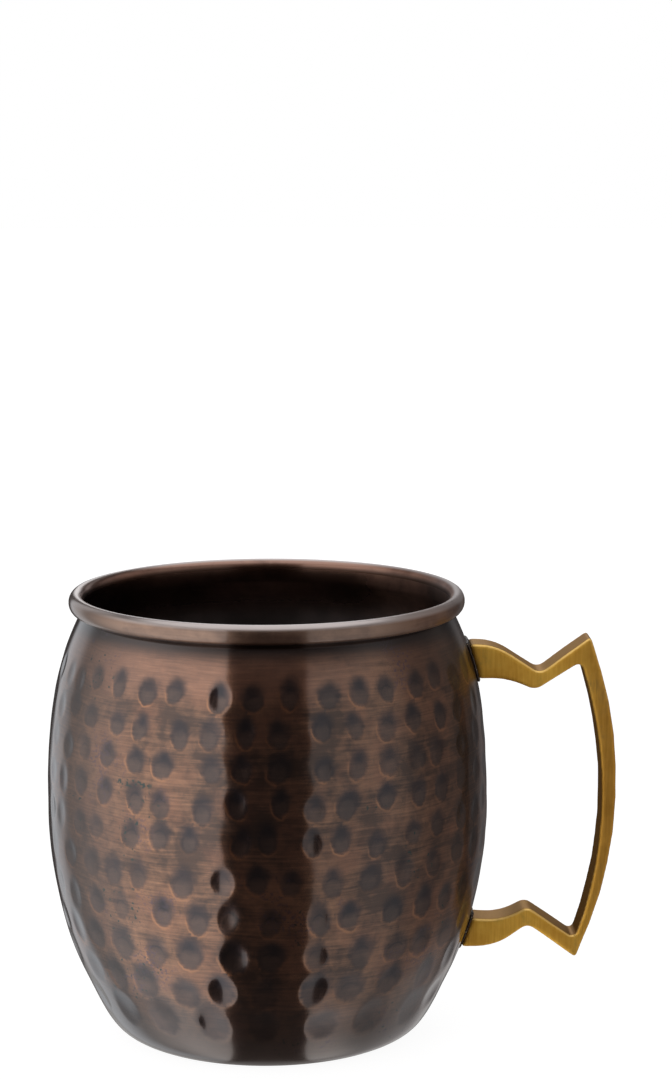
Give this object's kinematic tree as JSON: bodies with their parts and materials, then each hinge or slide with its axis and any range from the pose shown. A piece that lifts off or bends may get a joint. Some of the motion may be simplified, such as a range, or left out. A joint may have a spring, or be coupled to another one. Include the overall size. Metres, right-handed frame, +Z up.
{
  "type": "copper mug",
  "caption": "Barrel-shaped hammered copper drinking mug with a rolled rim and a flat zigzag cast brass handle brazed to its side.",
  "frame": {"origin": "centre of the flat base, on the cup's axis", "axes": "+Z up along the cup's axis, +X out through the handle, +Y to the cup's far side with the handle on the right"},
  "size_m": [0.1242, 0.096, 0.097],
  "materials": {
    "aged_copper": "hand-hammered copper with a dark antique patina, burnished on the high spots",
    "satin_brass": "satin brushed cast brass, lightly aged",
    "dark_braze": "rough blackened brazing metal"
  },
  "bodies": {
    "root": {"cup_shell": "aged_copper", "handle": "satin_brass", "upper_braze_seam": "dark_braze", "lower_braze_seam": "dark_braze"}
  },
  "joints": []
}
